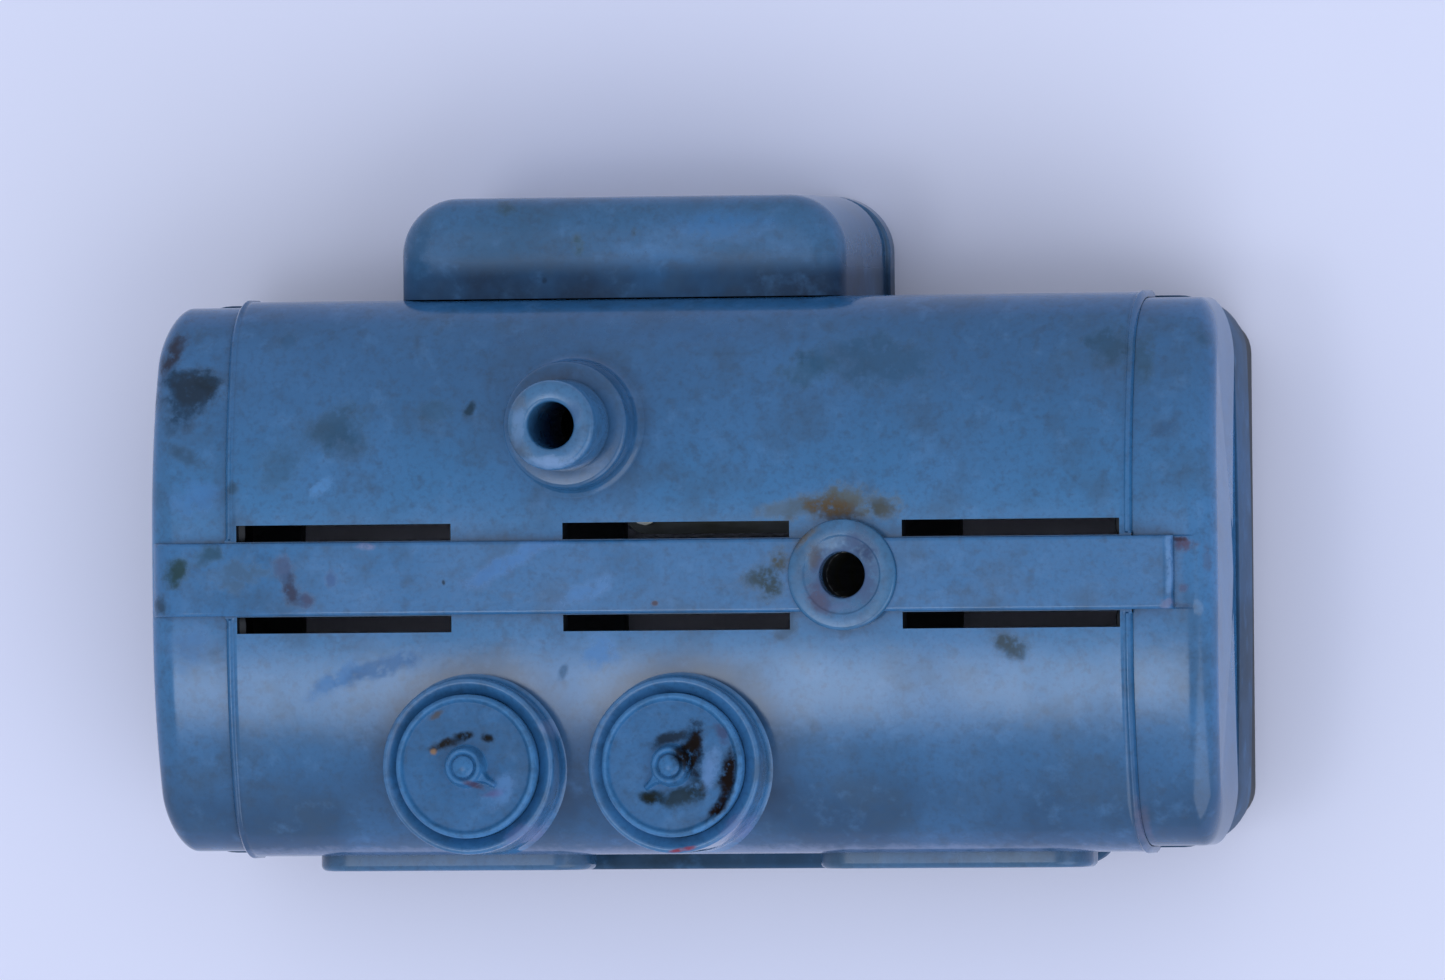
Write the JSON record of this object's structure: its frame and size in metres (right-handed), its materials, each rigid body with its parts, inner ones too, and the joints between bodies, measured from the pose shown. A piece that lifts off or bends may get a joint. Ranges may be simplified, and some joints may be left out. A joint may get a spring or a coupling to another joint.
{
  "type": "garage door opener",
  "caption": "Compact garage door opener control unit: moulded blue casing with two rotary dials, a vented strap, a guide bush over the geared drive hub and a terminal hood.",
  "frame": {"origin": "on the plane of the back, under the middle of the moulded face between the vents", "axes": "+X along the casing, +Y across it towards the terminal hood, +Z from the back towards the face"},
  "size_m": [0.0992, 0.0616, 0.0355],
  "materials": {
    "casing_plastic": "moulded, satin gloss, worn and stained",
    "frame_plastic": "moulded, satin",
    "tray_plastic": "moulded, fine texture",
    "steel": "zinc plated",
    "nylon": "moulded, black, greased",
    "brass": "turned",
    "board_laminate": "glass fibre laminate with solder mask",
    "black_plastic": "moulded",
    "relay_plastic": "moulded",
    "capacitor_sleeve": "shrink sleeve",
    "core_iron": "varnished laminations",
    "copper": "enamelled wire",
    "terminal_plastic": "moulded"
  },
  "bodies": {
    "casing": {"board_screw_1": "steel", "board_screw_2": "steel", "board_screw_3": "steel", "board_screw_4": "steel", "bridge_screw_1": "steel", "bridge_screw_2": "steel", "bridge_screw_3": "steel", "case_screw_bottom_left": "steel", "case_screw_bottom_right": "steel", "case_screw_top_left": "steel", "case_screw_top_right": "steel", "chassis_tray": "tray_plastic", "control_board": "board_laminate", "control_chip": "black_plastic", "first_arbor": "steel", "fixing_sleeve": "steel", "gear_bridge": "steel", "guide_bush": "casing_plastic", "latch_plate_left": "casing_plastic", "latch_plate_right": "casing_plastic", "left_end_cap": "casing_plastic", "middle_shell": "casing_plastic", "motor_can": "steel", "motor_cap": "black_plastic", "motor_capacitor": "capacitor_sleeve", "potentiometer_left": "black_plastic", "potentiometer_right": "black_plastic", "radio_module": "board_laminate", "relay": "relay_plastic", "right_end_cap": "casing_plastic", "rim_frame": "frame_plastic", "second_arbor": "steel", "smoothing_capacitor": "capacitor_sleeve", "strap": "casing_plastic", "terminal_block": "terminal_plastic", "terminal_hood": "casing_plastic", "terminal_screw_1": "steel", "terminal_screw_2": "steel", "terminal_screw_3": "steel", "terminal_screw_4": "steel", "terminal_screw_5": "steel", "timing_capacitor": "capacitor_sleeve", "transformer_core": "core_iron", "transformer_winding": "copper"},
    "left_dial": {"dial_left": "casing_plastic", "dial_screw_left": "steel", "dial_shaft_left": "steel"},
    "right_dial": {"dial_right": "casing_plastic", "dial_screw_right": "steel", "dial_shaft_right": "steel"},
    "output": {"output_hub": "nylon"},
    "second_stage": {"second_gear": "nylon"},
    "first_stage": {"first_gear": "nylon"},
    "rotor": {"motor_rotor": "brass"}
  },
  "joints": [
    {"name": "left_dial_turn", "type": "hinge", "parent": "casing", "child": "left_dial", "pos_m": [-0.0189, -0.017, 0.029], "axis": [0, 0, 1], "range_deg": [-31.5, 268.5]},
    {"name": "right_dial_turn", "type": "hinge", "parent": "casing", "child": "right_dial", "pos_m": [0.0002, -0.017, 0.029], "axis": [0, 0, 1], "range_deg": [-284.2, 15.8]},
    {"name": "output_spin", "type": "hinge", "parent": "casing", "child": "output", "pos_m": [-0.0095, 0.0137, 0.009], "axis": [0, 0, 1], "continuous": true},
    {"name": "second_stage_spin", "type": "hinge", "parent": "casing", "child": "second_stage", "pos_m": [0.0004, 0.0137, 0.0117], "axis": [0, 0, 1], "continuous": true},
    {"name": "first_stage_spin", "type": "hinge", "parent": "casing", "child": "first_stage", "pos_m": [0.0103, 0.0137, 0.0144], "axis": [0, 0, 1], "continuous": true},
    {"name": "rotor_spin", "type": "hinge", "parent": "casing", "child": "rotor", "pos_m": [0.0202, 0.0137, 0.0171], "axis": [0, 0, 1], "continuous": true}
  ],
  "couplings": [
    {"joint": "first_stage_spin", "follows": "rotor_spin", "ratio": -0.33333},
    {"joint": "second_stage_spin", "follows": "rotor_spin", "ratio": 0.11111},
    {"joint": "output_spin", "follows": "rotor_spin", "ratio": -0.037037}
  ]
}
